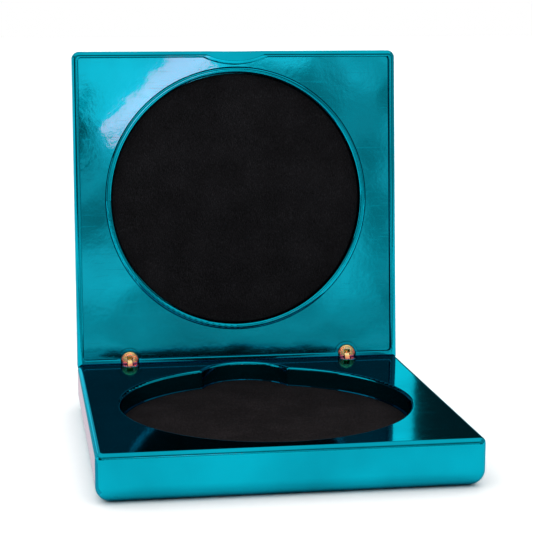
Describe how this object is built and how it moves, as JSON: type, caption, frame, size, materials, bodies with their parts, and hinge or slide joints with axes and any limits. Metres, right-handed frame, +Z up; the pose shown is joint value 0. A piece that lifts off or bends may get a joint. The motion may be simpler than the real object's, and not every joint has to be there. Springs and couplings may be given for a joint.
{
  "type": "hinged palette case",
  "caption": "Square hinged palette case with a round finger-notched well and soft round pads in the base and the lid.",
  "frame": {"origin": "middle of the flat bottom face", "axes": "+Z up, +Y towards the hinges, +X to the right seen from the front"},
  "size_m": [0.09, 0.0997, 0.0973],
  "materials": {
    "metallised_case": "vacuum-metallised, tinted clear coat",
    "hinge_metal": "iridescent gold plating",
    "steel": "plain",
    "magnet_nickel": "nickel plated",
    "well_pad_foam": "fine black foam felt",
    "lid_pad_felt": "short black felt"
  },
  "bodies": {
    "base": {"base_shell": "metallised_case", "bottom_plate": "metallised_case", "bottom_screws": "steel", "well_pad": "well_pad_foam", "base_magnet_left": "magnet_nickel", "base_magnet_right": "magnet_nickel", "base_barrel_left": "hinge_metal", "base_barrel_right": "hinge_metal", "base_pin_left": "steel", "base_pin_right": "steel"},
    "left_link": {"hinge_link_left": "hinge_metal"},
    "right_link": {"hinge_link_right": "hinge_metal"},
    "lid": {"lid_shell": "metallised_case", "lid_panel": "metallised_case", "lid_ring": "metallised_case", "lid_pad": "lid_pad_felt", "lid_magnet_left": "magnet_nickel", "lid_magnet_right": "magnet_nickel", "lid_barrel_left": "hinge_metal", "lid_barrel_right": "hinge_metal", "lid_pin_left": "steel", "lid_pin_right": "steel"}
  },
  "joints": [
    {"name": "left_link_swing", "type": "hinge", "parent": "base", "child": "left_link", "pos_m": [-0.0306, 0.041, 0.0102], "axis": [1, 0, 0], "range_deg": [0, 47.5]},
    {"name": "right_link_swing", "type": "hinge", "parent": "base", "child": "right_link", "pos_m": [0.0306, 0.041, 0.0102], "axis": [1, 0, 0], "range_deg": [0, 47.5]},
    {"name": "lid_swing", "type": "hinge", "parent": "left_link", "child": "lid", "pos_m": [-0.0306, 0.04365, 0.01263], "axis": [1, 0, 0], "range_deg": [0, 47.5]}
  ],
  "couplings": [
    {"joint": "left_link_swing", "follows": "lid_swing", "ratio": 1},
    {"joint": "right_link_swing", "follows": "lid_swing", "ratio": 1}
  ]
}
